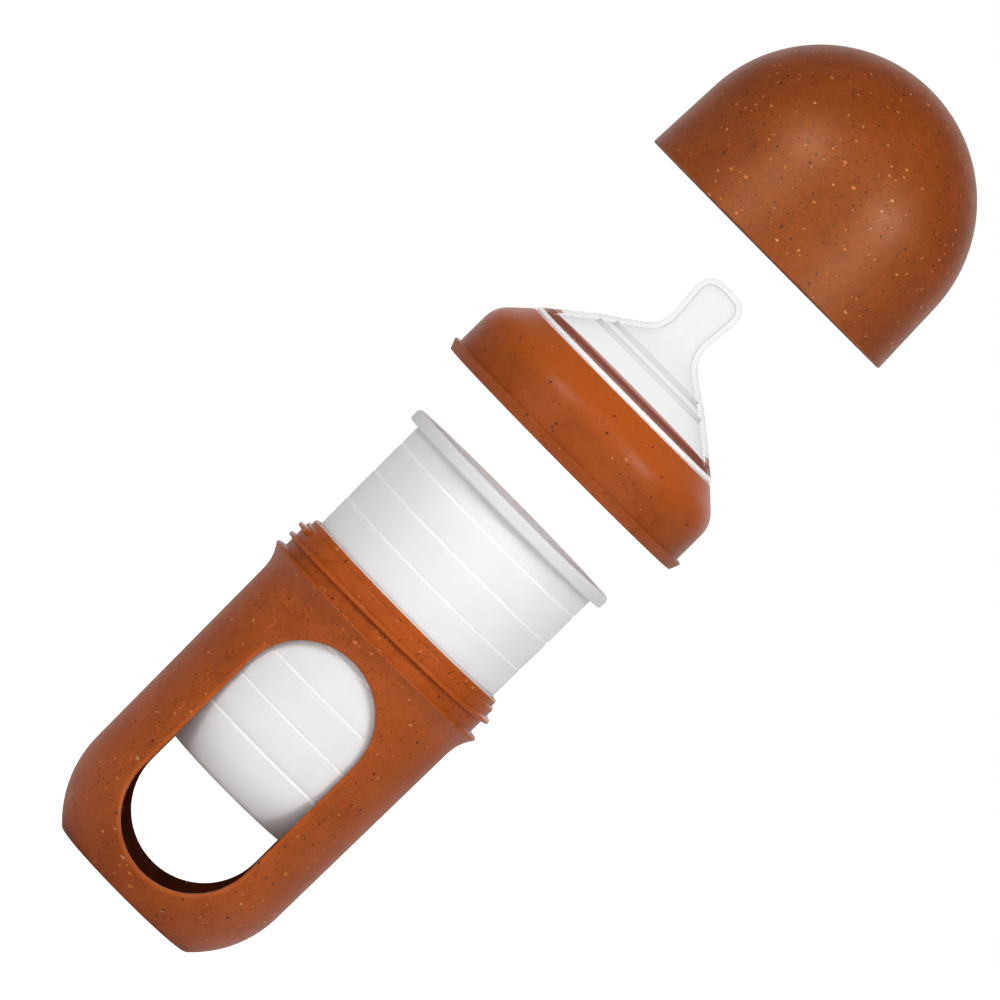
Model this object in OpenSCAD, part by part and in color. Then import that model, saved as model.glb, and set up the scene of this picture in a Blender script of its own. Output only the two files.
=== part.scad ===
// Pouch baby bottle: a rigid shell with two windows, a soft pouch that hangs in it by its flange,
// a nipple, the screw collar that clamps nipple and pouch onto the neck, and a dome cap.
// Every piece is laid out seated on the bottle's axis, +Z up with the foot on z = 0, and is then
// raised to its station, where the pieces stand apart one above the other.

/* [Shell] */
// Radius of the neck's bore, which the pouch hangs in
bore_r = 32.1; // [28:0.1:36]
// Height from the foot to the neck's rim
shell_h = 103.5; // [92:0.5:130]
// Wall of the shell's body
body_wall = 1.9; // [1.4:0.1:2.4]
// Wall of the neck below its rim
neck_wall = 2.1; // [1.7:0.1:2.8]
// Wall of the neck's stepped rim
rim_wall = 1.2; // [0.8:0.1:1.5]
// Height of the stepped rim
rim_h = 1.9; // [1.5:0.1:3]
// Height of the neck above the shoulder
neck_h = 10.7; // [9:0.1:14]
// How far the shoulder stands out from the neck
shoulder_w = 2.3; // [1.5:0.1:3]
// Height of the flare that leads out to the shoulder
flare_h = 8; // [6:0.5:10]
// How much the body narrows from the flare down to its rounded end
body_taper = 0.7; // [0:0.1:1.2]
// Height of the body's rounded end
end_h = 23.4; // [20:0.2:27]
// Radius of the flat foot
foot_r = 22.9; // [20:0.1:25]
// Thickness of the floor
floor_t = 2; // [1.5:0.1:3]
// Rounding between the floor and the rounded end, on the inside
floor_fillet = 5; // [3:0.5:7]
// Rounding of the foot's outer edge
foot_fillet = 1.4; // [0.8:0.1:2]
// Depth of the recess inside the foot ring
foot_recess = 0.8; // [0.4:0.1:1.2]
// Width of the foot ring
foot_ring_w = 4; // [2.5:0.5:6]

/* [Windows] */
// Width of each window
window_w = 38.2; // [28:0.1:42]
// Height of the windows' lower end above the foot
window_bottom = 8.5; // [7:0.1:16]
// Distance from the windows' upper end to the shoulder
window_drop = 7.3; // [6:0.1:16]

/* [Pouch] */
// Wall of the pouch
pouch_wall = 1; // [0.8:0.1:1.6]
// Clearance between the pouch and the shell
pouch_gap = 0.25; // [0.15:0.05:0.4]
// Thickness of the pouch's flange
flange_t = 3.5; // [2.5:0.1:4.5]
// How far the pouch's flange reaches past the neck
flange_over = 0.7; // [0.4:0.1:1]
// Width of each graduation groove
groove_w = 1.1; // [0.7:0.1:1.5]
// Depth of each graduation groove
groove_d = 0.4; // [0.2:0.05:0.5]

/* [Nipple] */
// Height from the flange's underside to the tip
nipple_h = 46.2; // [42:0.1:52]
// Radius of the teat's bulb
bulb_r = 7.2; // [6.6:0.1:8]
// Radius of the teat's waist
waist_r = 6.5; // [5.6:0.1:6.6]
// Height from the waist to the tip
teat_h = 15.4; // [13:0.2:18]
// Rounding of the teat's tip
tip_round = 5; // [3.5:0.1:5.5]
// Radius of the fillet from the waist into the skirt
waist_fillet = 7.5; // [5:0.5:11]
// Wall of the teat and the skirt
nipple_wall = 1.5; // [1.1:0.1:1.9]
// Thickness of the nipple's flange at its edge
nipple_flange_t = 2.1; // [1.6:0.1:2.6]
// How far the skirt bulges past a straight cone
skirt_bow = 0.4; // [0:0.1:1]
// Radius of the flow hole in the tip
flow_hole_r = 0.3; // [0.2:0.05:0.6]
// Mean radius of the two flex grooves inside the skirt
flex_groove_r = 17.2; // [14:0.2:20]
// Distance between the two flex grooves
flex_pitch = 3.6; // [2.4:0.2:5]

/* [Collar] */
// Height from the collar's foot to its lip
collar_h = 22.9; // [21:0.1:26]
// Wall of the collar around its bore
collar_wall = 3.1; // [2.4:0.1:4]
// Clearance between the collar's bore and the shoulder
collar_gap = 0.4; // [0.3:0.1:0.8]
// Wall of the collar's crown
crown_wall = 1.8; // [1.4:0.1:2.4]
// Radius of the rounding from the collar's side into its crown
crown_r = 8.3; // [6:0.1:10]
// Slope of the crown, from the vertical
crown_a = 47; // [42:1:54]
// Height of the foot bead that the cap sits on
bead_h = 3.2; // [2.4:0.1:4]
// How much the foot bead slants in towards its lower edge
bead_slant = 1.1; // [0.6:0.1:1.2]
// How far the lip reaches in over the nipple's flange
lip_reach = 2.7; // [2:0.1:3.4]

/* [Cap] */
// Wall of the cap
cap_wall = 1; // [0.8:0.1:1.6]
// Clearance between the cap and the collar's side
cap_gap = 0.15; // [0.1:0.05:0.5]
// Draft of the cap's side, in degrees
cap_draft = 2.2; // [1:0.1:3]
// Clearance between the nipple's tip and the inside of the cap
tip_gap = 0.5; // [0.4:0.1:8]

/* [Stations] */
// Rise of the pouch above its seat on the shell's rim
pouch_rise = 35.8; // [0:0.1:70]
// Rise of the nipple and its collar above their seat on the pouch
head_rise = 32.7; // [0:0.1:60]
// Rise of the cap above its seat on the collar
cap_rise = 72; // [0:0.1:100]

/* [Hidden] */

SHELL_COLOR = [0.66, 0.31, 0.13];
POUCH_COLOR = [0.93, 0.93, 0.94, 0.75];
NIPPLE_COLOR = [0.95, 0.95, 0.95, 0.45];

$fn = 128;
arc_n = 12;      // steps of a profile arc
groove_fn = 24;  // facets around a groove's round cutter
seat_gap = 0.1;  // gap between two flat seated faces
fit_gap = 0.2;   // gap between the nipple and the collar around it
edge_r = 0.5;    // rounding of thin moulded edges
over = 1;        // how far a cutter runs past what it cuts
fluid_ounce = 29574; // mm3
fill_h = 0.1;    // height of one layer when the pouch is filled

// Shell, from the bore outwards and from the rim downwards
neck_r = bore_r + neck_wall;
rim_r = bore_r + rim_wall;
shoulder_r = neck_r + shoulder_w;
body_r = bore_r + body_wall;
end_top_r = body_r - body_taper;
shoulder_z = shell_h - neck_h;
flare_z = shoulder_z - flare_h;
shoulder_land = 0.25; // upright land at the shoulder's edge
rim_round = min(edge_r, 0.4 * rim_wall);
step_round = min(edge_r, (neck_wall - rim_wall) / 2);

// The rounded end is one arc from the foot's edge up to the body, where it stands upright
end_arc_r = (pow(end_top_r - foot_r, 2) + pow(end_h, 2)) / (2 * (end_top_r - foot_r));
end_c = [end_top_r - end_arc_r, end_h];

// The flare is one arc from the body, where it stands upright, out to the shoulder's edge
flare_out = shoulder_r - body_r;
flare_arc_h = flare_h - edge_r - shoulder_land;
flare_arc_r = (pow(flare_out, 2) + pow(flare_arc_h, 2)) / (2 * flare_out);
flare_c = [body_r + flare_arc_r, flare_z];

// Windows
window_r = window_w / 2;
window_top = shoulder_z - window_drop;

// The pouch follows the shell's inside at one clearance and hangs by its flange
pouch_r = bore_r - pouch_gap;
pouch_arc_r = end_arc_r - body_wall - pouch_gap;
pouch_fillet = floor_fillet - pouch_gap;
pouch_z = floor_t + pouch_gap;
pouch_seat_z = shell_h + seat_gap;
pouch_top_z = pouch_seat_z + flange_t;
flange_r = neck_r + flange_over;

// The nipple lies on the pouch's flange, and the collar's lip holds it down there
nipple_z = pouch_top_z + seat_gap;
nipple_flange_r = flange_r - edge_r;
lip_r = nipple_flange_r - lip_reach;

// Collar, from its foot: an upright side, a rounding and a straight crown that runs up to the lip
collar_bore_r = shoulder_r + collar_gap;
side_r = collar_bore_r + collar_wall;
lip_c = [lip_r + edge_r, collar_h - edge_r];
lip_out = lip_c + edge_r * [sin(crown_a), cos(crown_a)];
crown_end_r = side_r - crown_r * (1 - cos(crown_a));
crown_end_z = lip_out[1] - (crown_end_r - lip_out[0]) / tan(crown_a);
crown_c = [side_r - crown_r, crown_end_z - crown_r * sin(crown_a)];
function crown_under_z(r) = crown_end_z + (crown_end_r - r) / tan(crown_a) - crown_wall / sin(crown_a);
collar_z = nipple_z + nipple_flange_t + fit_gap / sin(crown_a) - crown_under_z(nipple_flange_r);

// Cap, from its rim: a drafted side that just clears the collar's side and runs smoothly into a
// dome that just clears the nipple's tip
cap_z = collar_z + bead_h + seat_gap;
cap_inside_h = nipple_z + nipple_h + tip_gap - cap_z;
cap_rim_in_r = side_r + cap_gap + (crown_c[1] - bead_h) * tan(cap_draft);
cap_dome_in_r = (cap_rim_in_r * cos(cap_draft) - cap_inside_h * sin(cap_draft)) / (1 - sin(cap_draft));
cap_side_h = cap_inside_h - cap_dome_in_r;
bead_r = cap_rim_in_r + cap_wall;

// Points along an arc, and the angle at which an arc of radius r about c comes to height z
function arc(c, r, a0, a1, n = arc_n) = [
    for (i = [0 : n]) let (a = a0 + (a1 - a0) * i / n) c + r * [cos(a), sin(a)]];
function arc_angle(c, r, z) = asin((z - c[1]) / r);

// Rounded end from a flat at height z, through a fillet, up an arc of radius r to the end's top
function rounded_end(r, z, fillet) = let (
    a = arc_angle(end_c, r - fillet, z + fillet),
    fillet_c = end_c + (r - fillet) * [cos(a), sin(a)])
    concat(arc(fillet_c, fillet, -90, a), arc(end_c, r, a, 0, 2 * arc_n));
function reversed(v) = [for (i = [len(v) - 1 : -1 : 0]) v[i]];

// ---- Shell ----

shell_outside = concat(
    [[foot_r - foot_ring_w - foot_recess, foot_recess], [foot_r - foot_ring_w, 0]],
    rounded_end(end_arc_r, 0, foot_fillet),
    arc(flare_c, flare_arc_r, 180, 180 - arc_angle(flare_c, flare_arc_r, flare_z + flare_arc_h)),
    arc([shoulder_r - edge_r, shoulder_z - edge_r], edge_r, 0, 90),
    [[neck_r, shoulder_z], [neck_r, shell_h - rim_h - step_round]],
    [[neck_r - step_round, shell_h - rim_h], [rim_r, shell_h - rim_h]],
    arc([rim_r - rim_round, shell_h - rim_round], rim_round, 0, 90));

shell_inside = concat(
    arc([bore_r + rim_round, shell_h - rim_round], rim_round, 90, 180),
    [[bore_r, flare_z]],
    reversed(rounded_end(end_arc_r - body_wall, floor_t, floor_fillet)),
    [[0, floor_t]]);

// Upright slot with round ends
module window_outline() {
    for (z = [window_bottom + window_r, window_top - window_r]) translate([0, z]) circle(window_r);
    translate([-window_r, window_bottom + window_r])
        square([window_w, window_top - window_bottom - window_w]);
}

module bottle_shell() {
    color(SHELL_COLOR) difference() {
        rotate_extrude() polygon(concat([[0, foot_recess]], shell_outside, shell_inside));
        rotate([90, 0, 0]) linear_extrude(2 * (shoulder_r + over), center = true) window_outline();
    }
}

// ---- Pouch ----

// Radius of the pouch at height z, for its outside or, with its wall taken off, its inside
function pouch_r_at(z, wall = 0) = z < end_h
    ? end_c[0] + sqrt(pow(pouch_arc_r - wall, 2) - pow(end_h - z, 2))
    : pouch_r - wall - body_taper * max(0, flare_z - z) / (flare_z - end_h);

// Heights at which the pouch holds each whole fluid ounce, filled layer by layer to its flange
function layer(z) = PI * pow(pouch_r_at(z, pouch_wall), 2) * fill_h;
groove_z = [for (z = pouch_z + pouch_wall, held = 0; z < pouch_seat_z - 2 * groove_w;
                 held = held + layer(z), z = z + fill_h)
    if (floor((held + layer(z)) / fluid_ounce) > floor(held / fluid_ounce)) z];

pouch_outside = concat(
    rounded_end(pouch_arc_r, pouch_z, pouch_fillet),
    [[pouch_r, flare_z], [pouch_r, pouch_seat_z]],
    [[flange_r - edge_r, pouch_seat_z], [flange_r, pouch_seat_z + edge_r]],
    arc([flange_r - 2 * edge_r, pouch_top_z - 2 * edge_r], 2 * edge_r, 0, 90));

pouch_inside = concat(
    arc([pouch_r - pouch_wall + edge_r, pouch_top_z - edge_r], edge_r, 90, 180),
    [[pouch_r - pouch_wall, flare_z]],
    reversed(rounded_end(pouch_arc_r - pouch_wall, pouch_z + pouch_wall, pouch_fillet - pouch_wall)),
    [[0, pouch_z + pouch_wall]]);

module pouch_section() {
    difference() {
        polygon(concat([[0, pouch_z]], pouch_outside, pouch_inside));
        for (z = groove_z)
            translate([pouch_r_at(z) - groove_d + groove_w / 2, z])
                circle(d = groove_w, $fn = groove_fn);
    }
}

module silicone_pouch() {
    color(POUCH_COLOR) translate([0, 0, pouch_rise]) rotate_extrude() pouch_section();
}

// ---- Nipple, from the underside of its flange ----

groove_r = lip_r - fit_gap; // floor of the groove that the collar's lip snaps into
lip_top = collar_z + collar_h - nipple_z;
seal_bead_r = 0.5;          // bead at the skirt's foot, which lies over the lip
seal_c = [groove_r, lip_top + fit_gap + seal_bead_r];
waist_c = [waist_r + waist_fillet, nipple_h - teat_h];
bulb_z = nipple_h - tip_round;

// The skirt leaves the bead along the line that also touches the waist's fillet
seal_to_waist = waist_c - seal_c;
skirt_a = atan2(seal_to_waist[1], -seal_to_waist[0])
    - asin((waist_fillet + seal_bead_r) / norm(seal_to_waist));
skirt_n = [sin(skirt_a), cos(skirt_a)];
skirt_foot = seal_c + seal_bead_r * skirt_n;
skirt_head = waist_c - waist_fillet * skirt_n;

// Point of the skirt at share t of the way up, moved out by d
function skirt(t, d = 0) = skirt_foot + t * (skirt_head - skirt_foot)
    + (d + skirt_bow * pow(sin(180 * t), 2)) * skirt_n;
function skirt_share(r) = (skirt_foot[0] - r) / (skirt_foot[0] - skirt_head[0]);

// Side of the teat from its waist to its bulb, moved out by d
function teat(d = 0) = [for (i = [1 : arc_n - 1]) let (s = i / arc_n)
    [waist_r + d + (bulb_r - waist_r) * (3 - 2 * s) * s * s, waist_c[1] + (bulb_z - waist_c[1]) * s]];

nipple_outside = concat(
    [[nipple_flange_r, 0], [nipple_flange_r, nipple_flange_t]],
    [[groove_r, nipple_flange_t + (nipple_flange_r - groove_r) / tan(crown_a)]],
    arc(seal_c, seal_bead_r, -90, 90 - skirt_a),
    [for (i = [1 : arc_n - 1]) skirt(i / arc_n)],
    arc(waist_c, waist_fillet, 270 - skirt_a, 180),
    teat(),
    arc([bulb_r - tip_round, bulb_z], tip_round, 0, 90),
    [[flow_hole_r, nipple_h]]);

nipple_in_r = groove_r - nipple_wall;
skirt_in_share = skirt_share(nipple_in_r + nipple_wall * skirt_n[0]);

nipple_inside = concat(
    [[flow_hole_r, nipple_h - nipple_wall]],
    arc([bulb_r - tip_round, bulb_z], tip_round - nipple_wall, 90, 0),
    reversed(teat(-nipple_wall)),
    arc(waist_c, waist_fillet + nipple_wall, 180, 270 - skirt_a),
    [for (i = [arc_n - 1 : -1 : 0]) skirt(1 - (1 - skirt_in_share) * (1 - i / arc_n), -nipple_wall)],
    [[nipple_in_r, 2 * edge_r], [nipple_in_r + 2 * edge_r, 0]]);

module nipple_section() {
    difference() {
        polygon(concat(nipple_outside, nipple_inside));
        for (side = [-1, 1])
            translate(skirt(skirt_share(flex_groove_r + side * flex_pitch / 2), -nipple_wall))
                circle(edge_r, $fn = groove_fn);
    }
}

module nipple() {
    color(NIPPLE_COLOR) translate([0, 0, nipple_z + pouch_rise + head_rise])
        rotate_extrude() nipple_section();
}

// ---- Collar, from its foot ----

bore_corner = 0.8; // corner between the collar's bore and the crown's underside

collar_outside = concat(
    [[bead_r - bead_slant, 0]],
    arc([bead_r - edge_r, bead_h - edge_r], edge_r, 0, 90),
    [[side_r, bead_h]],
    arc(crown_c, crown_r, 0, crown_a),
    arc(lip_c, edge_r, 90 - crown_a, 180));

collar_inside = [
    [lip_r, crown_under_z(lip_r)],
    [collar_bore_r - bore_corner, crown_under_z(collar_bore_r - bore_corner)],
    [collar_bore_r, crown_under_z(collar_bore_r) - bore_corner],
    [collar_bore_r, edge_r],
    [collar_bore_r + edge_r, 0]];

module screw_collar() {
    color(SHELL_COLOR) translate([0, 0, collar_z + pouch_rise + head_rise])
        rotate_extrude() polygon(concat(collar_outside, collar_inside));
}

// ---- Cap, from its rim ----

cap_outside = concat(
    arc([bead_r - edge_r, edge_r], edge_r, -90, 0),
    arc([0, cap_side_h], cap_dome_in_r + cap_wall, cap_draft, 90, 2 * arc_n));

cap_inside = concat(arc([0, cap_side_h], cap_dome_in_r, 90, cap_draft, 2 * arc_n), [[cap_rim_in_r, 0]]);

module dome_cap() {
    color(SHELL_COLOR) translate([0, 0, cap_z + pouch_rise + head_rise + cap_rise])
        rotate_extrude() polygon(concat(cap_outside, cap_inside));
}

bottle_shell();
silicone_pouch();
nipple();
screw_collar();
dome_cap();
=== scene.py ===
"""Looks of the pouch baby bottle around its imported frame.

Lengths in the shape code are millimetres in the assembled bottle's frame, +Z up from the foot;
each piece is then raised to the station where the frame holds its node.
"""

import math

import bmesh
import bpy
from mathutils import Matrix, Vector


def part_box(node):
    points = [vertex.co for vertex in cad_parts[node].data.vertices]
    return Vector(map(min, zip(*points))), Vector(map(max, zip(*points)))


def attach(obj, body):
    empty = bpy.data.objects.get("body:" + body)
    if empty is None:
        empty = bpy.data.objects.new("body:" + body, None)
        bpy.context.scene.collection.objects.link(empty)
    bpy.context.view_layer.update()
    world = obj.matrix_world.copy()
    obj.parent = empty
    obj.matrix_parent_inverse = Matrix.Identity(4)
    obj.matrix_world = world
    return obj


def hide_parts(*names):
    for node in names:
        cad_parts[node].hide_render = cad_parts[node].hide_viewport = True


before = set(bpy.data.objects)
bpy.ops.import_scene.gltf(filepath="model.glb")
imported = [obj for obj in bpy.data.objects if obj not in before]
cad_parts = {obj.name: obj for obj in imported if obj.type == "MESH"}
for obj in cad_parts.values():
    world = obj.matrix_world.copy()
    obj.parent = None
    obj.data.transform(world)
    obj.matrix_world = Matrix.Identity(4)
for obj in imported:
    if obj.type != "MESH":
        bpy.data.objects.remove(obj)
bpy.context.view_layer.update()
scene = bpy.context.scene

MM = 0.001
AROUND = 192     # steps of every lathed piece
ARC_TURN = 9.0   # widest turn of one arc step, degrees
ARC_STEP = 1.2   # longest arc step
SPAN_STEP = 1.6  # longest step of a straight span
SUPPORT = 0.14   # support points this far from a straight span's ends
ON_AXIS = 1e-6   # a point this near the axis is on it
WELD = 1e-7      # vertices this near each other become one, metres

# ---- Sizes of the part ----

END_C = (1.775, 23.4)  # centre of the rounded ends' arcs
SHELL_END_R = 31.525
BODY_WALL = 1.9
BORE_R = 32.1
BODY_R = 34.0
FLARE_Z = 84.8
FLARE_C = (45.7625, FLARE_Z)
FLARE_R = 11.7625
SHOULDER_R = 36.5
SHOULDER_Z = 92.8
NECK_R = 34.2
RIM_R = 33.3
RIM_Z = 103.5
RIM_STEP_Z = 101.6
FLOOR_T = 2.0
FOOT_FILLET = 1.4
FLOOR_FILLET = 5.0
STEP_FILLET = 0.45
RIM_FILLET = 0.48
SMALL_FILLET = 0.12  # at the foot of a step
FOOT_RECESS = 0.8    # height of the underside inside the ring it stands on
FOOT_RING_R = (18.1, 18.9)
WINDOW_R = 19.1
WINDOW_LOW_C = 27.6
WINDOW_HIGH_C = 66.4

POUCH_R = 31.85
POUCH_WALL = 1.0
POUCH_ARC_R = 29.375
POUCH_FILLET = 4.75
POUCH_Z = 2.25
FLANGE_R = 34.9
FLANGE_LOW = 103.6
FLANGE_HIGH = 107.1
GROOVES = (16.65, 27.15, 37.45, 47.65, 57.75, 67.85, 77.75, 87.75, 97.55)
GROOVE_W = 1.1
GROOVE_D = 0.4

NIPPLE_WALL = 1.5
NIPPLE_BORE_R = 31.0
NIPPLE_FLANGE_R = 34.4
NIPPLE_FLANGE_T = 2.1
LIP_GROOVE_R = 31.5  # the nipple's groove that the collar's lip snaps into
LIP_GROOVE_LOW = 4.8043
LIP_GROOVE_HIGH = 6.9
SKIRT_FOOT = Vector((31.8031, 7.80186))
SKIRT_HEAD = Vector((9.45382, 24.8349))
SKIRT_N = Vector((0.606157, 0.795345))
SKIRT_A = 37.3121    # slope of the skirt, degrees
SKIRT_BOW = 0.4
FLEX_GROOVES = (15.4, 19.0)
FLEX_GROOVE_R = 0.5
WAIST_C = (14.0, 30.8)
WAIST_FILLET = 7.5
WAIST_R = 6.5
BULB_R = 7.2
BULB_Z = 41.2
BULB_FILLET = 5.0
TIP_Z = 46.2
FLOW_HOLE_R = 0.3

COLLAR_Z = 91.0042
COLLAR_BORE_R = 36.9
COLLAR_MOUTH_R = 37.4
COLLAR_SIDE_R = 40.0
COLLAR_LIP_R = 31.7
COLLAR_UNDER_Z = 16.238
CROWN_C = (31.7, 12.1994)
CROWN_R = 8.3
BEAD_R = 41.4957
BEAD_LOW = 2.7   # height up to which the collar's bead leans out
BEAD_HIGH = 3.2
CAP_IN_R = 40.4957
CAP_WALL = 1.0
CAP_DOME_R = 39.7022
CAP_DOME_Z = 19.8936
CAP_DRAFT = 2.2  # degrees

THREAD_PITCH = 3.4
THREAD_TURNS = (204, -282)  # where each thread starts and ends, degrees about the axis
NECK_THREAD_R = 35.75
NECK_THREAD_Z = 98.0  # height of the neck's thread where the turn is 0
COLLAR_THREAD_R = 35.1
COLLAR_THREAD_Z = 99.7


# ---- Profiles ----

def arc(c, r, a0, a1):
    """Points of an arc from angle a0 to a1, in degrees."""
    turn = math.radians(a1 - a0)
    n = max(2, math.ceil(abs(a1 - a0) / ARC_TURN), math.ceil(abs(turn) * r / ARC_STEP))
    angles = [math.radians(a0) + turn * i / n for i in range(n + 1)]
    return [(c[0] + r * math.cos(a), c[1] + r * math.sin(a)) for a in angles]


def span(a, b):
    """Points between a and b on a straight line, close together at both ends."""
    length = math.dist(a, b)
    if length < 3 * SUPPORT:
        return []
    n = math.ceil((length - 2 * SUPPORT) / SPAN_STEP)
    stops = [SUPPORT + (length - 2 * SUPPORT) * i / n for i in range(n + 1)]
    return [(a[0] + (b[0] - a[0]) * s / length, a[1] + (b[1] - a[1]) * s / length) for s in stops]


def profile(*parts, closed=False):
    """Joins arcs and corner points with straight spans."""
    out = []
    for i, part in enumerate(parts):
        out += part
        if closed or i + 1 < len(parts):
            out += span(part[-1], parts[(i + 1) % len(parts)][0])
    return out


def rounded_end(r, z, fillet):
    """From a flat at height z through a fillet and up the end's arc of radius r."""
    a = math.asin((z + fillet - END_C[1]) / (r - fillet))
    c = (END_C[0] + (r - fillet) * math.cos(a), z + fillet)
    return [arc(c, fillet, -90, math.degrees(a)), arc(END_C, r, math.degrees(a), 0)[1:]]


def rounded(point_a, corner, point_b, r):
    """Fillet of radius r at a corner, between the directions of two neighbouring points."""
    c, a, b = Vector(corner), Vector(point_a), Vector(point_b)
    da, db = (a - c).normalized(), (b - c).normalized()
    half = math.acos(max(-1, min(1, da.dot(db)))) / 2
    start, end = c + da * r / math.tan(half), c + db * r / math.tan(half)
    centre = c + (da + db).normalized() * r / math.sin(half)
    a0 = math.degrees(math.atan2(start[1] - centre[1], start[0] - centre[0]))
    a1 = math.degrees(math.atan2(end[1] - centre[1], end[0] - centre[0]))
    a1 -= 360 * round((a1 - a0) / 360)
    return arc(centre, r, a0, a1)


def outer_corner(r, z, fillet):
    """Rounding at the top of an outer side."""
    return arc((r - fillet, z - fillet), fillet, 0, 90)


def bore_corner(r, z, fillet):
    """Rounding at the top of a bore."""
    return arc((r + fillet, z - fillet), fillet, 90, 180)


def step_corner(r, z, fillet):
    """Rounding at the foot of an outer side that stands on a step."""
    return arc((r + fillet, z + fillet), fillet, 270, 180)


# ---- Meshes ----

def shown(name, shape, materials, body, node=None, pick=None):
    """A smooth mesh piece, in millimetres, that rides on a body and may stand for a node.

    pick gives the index of a face's material from the face's middle, as radius and height.
    """
    verts, faces = shape
    mesh = bpy.data.meshes.new(name)
    mesh.from_pydata([(x * MM, y * MM, z * MM) for x, y, z in verts], [], faces)
    for look in materials:
        mesh.materials.append(look)
    bm = bmesh.new()
    bm.from_mesh(mesh)
    bmesh.ops.remove_doubles(bm, verts=bm.verts, dist=WELD)
    bmesh.ops.recalc_face_normals(bm, faces=bm.faces)
    for f in bm.faces:
        f.smooth = True
        if pick:
            c = f.calc_center_median() / MM
            f.material_index = pick(math.hypot(c.x, c.y), c.z)
    bm.to_mesh(mesh)
    bm.free()
    piece = bpy.data.objects.new(name, mesh)
    scene.collection.objects.link(piece)
    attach(piece, body)
    if node:
        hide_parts(node)
    return piece


def strip(low, high):
    """Faces between two rings, either of which may be one point."""
    if len(low) == 1 and len(high) == 1:
        return []
    n = max(len(low), len(high))
    out = []
    for j in range(n):
        k = (j + 1) % n
        if len(low) == 1:
            out.append((low[0], high[k], high[j]))
        elif len(high) == 1:
            out.append((low[j], low[k], high[0]))
        else:
            out.append((low[j], low[k], high[k], high[j]))
    return out


def turned(line, around, closed=False):
    """Vertices and faces of a line turned about the axis. A point on the axis is one vertex."""
    verts, faces, rings = [], [], []
    for r, z in line:
        if r < ON_AXIS:
            rings.append([len(verts)])
            verts.append((0.0, 0.0, z))
        else:
            rings.append(list(range(len(verts), len(verts) + len(around))))
            verts += [(r * x, r * y, z) for x, y in around]
    for low, high in zip(rings, rings[1:] + rings[:1] if closed else rings[1:]):
        faces += strip(low, high)
    return verts, faces


def lathe(line, rise, closed=True):
    """A profile turned about the axis and raised."""
    turns = [2 * math.pi * (i + 0.5) / AROUND for i in range(AROUND)]
    around = [(math.cos(t), math.sin(t)) for t in turns]
    return turned([(r, z + rise) for r, z in line], around, closed)


def sweep(stations, section):
    """Vertices and faces of a closed section carried along stations of origin, side and up."""
    verts, faces = [], []
    n = len(section)
    for origin, side, up in stations:
        verts += [tuple(origin + side * s + up * u) for s, u in section]
    for i in range(len(stations) - 1):
        for j in range(n):
            k = (j + 1) % n
            faces.append((i * n + j, i * n + k, (i + 1) * n + k, (i + 1) * n + j))
    faces.append(tuple(range(n)))
    faces.append(tuple(range(len(verts) - n, len(verts))))
    return verts, faces


def mirrored_section(half):
    return [(-s, u) for s, u in half] + [(s, u) for s, u in half[::-1]]


def joined(shapes):
    """Vertices and faces of several shapes as one."""
    verts, faces = [], []
    for shape_verts, shape_faces in shapes:
        base = len(verts)
        verts += shape_verts
        faces += [tuple(base + i for i in face) for face in shape_faces]
    return verts, faces


def rise_of(node, seated_z):
    """How far the frame holds a node above its place in the assembled bottle."""
    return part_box(node)[0].z / MM - seated_z


# ---- Nodes ----

def emptied(block):
    """The node tree of a material or a world, without its nodes."""
    block.use_nodes = True
    block.node_tree.nodes.clear()
    return block.node_tree


def put(nt, kind, inputs=None, **props):
    """A node with its properties and inputs set. An input may be a value or a socket."""
    node = nt.nodes.new(kind)
    for key, value in props.items():
        setattr(node, key, value)
    for key, value in (inputs or {}).items():
        if isinstance(value, bpy.types.NodeSocket):
            nt.links.new(value, node.inputs[key])
        else:
            node.inputs[key].default_value = value
    return node


def set_inputs(shader, values):
    for key, value in values.items():
        shader.inputs[key].default_value = value


def math_node(nt, op, a, b=0.0):
    return put(nt, "ShaderNodeMath", {0: a, 1: b}, operation=op).outputs[0]


def vector_node(nt, op, inputs):
    return put(nt, "ShaderNodeVectorMath", inputs, operation=op).outputs[0]


def in_range(nt, value, low, high, out_low=0.0, out_high=1.0):
    inputs = {0: value, 1: low, 2: high, 3: out_low, 4: out_high}
    return put(nt, "ShaderNodeMapRange", inputs).outputs[0]


def mix_colour(nt, factor, a, b):
    return put(nt, "ShaderNodeMix", {0: factor, 6: a, 7: b}, data_type="RGBA").outputs[2]


def mix_shaders(nt, factor, a, b):
    return put(nt, "ShaderNodeMixShader", {0: factor, 1: a, 2: b}).outputs[0]


def coords_mm(nt, offset=(0, 0, 0), stretch=(1, 1, 1), turn=(0, 0, 0)):
    """Coordinates fixed to the piece, in millimetres, turned, stretched and then moved."""
    at = put(nt, "ShaderNodeTexCoord").outputs["Object"]
    turned_at = put(nt, "ShaderNodeMapping", {"Vector": at, "Rotation": turn}).outputs[0]
    scale = tuple(s / MM for s in stretch)
    inputs = {"Vector": turned_at, "Location": offset, "Scale": scale}
    return put(nt, "ShaderNodeMapping", inputs).outputs[0]


def noise(nt, vector, size, detail=2.0, roughness=0.5, output="Fac"):
    inputs = {"Vector": vector, "Scale": 1.0 / size, "Detail": detail, "Roughness": roughness}
    return put(nt, "ShaderNodeTexNoise", inputs).outputs[output]


def warped(nt, vector, size, amount):
    """Coordinates pushed about by noise, so that flecks get ragged outlines."""
    push = noise(nt, vector, size, 1.0, output="Color")
    centred = vector_node(nt, "SUBTRACT", {0: push, 1: (0.5, 0.5, 0.5)})
    scaled = vector_node(nt, "SCALE", {0: centred, 3: amount})
    return vector_node(nt, "ADD", {0: vector, 1: scaled})


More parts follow.
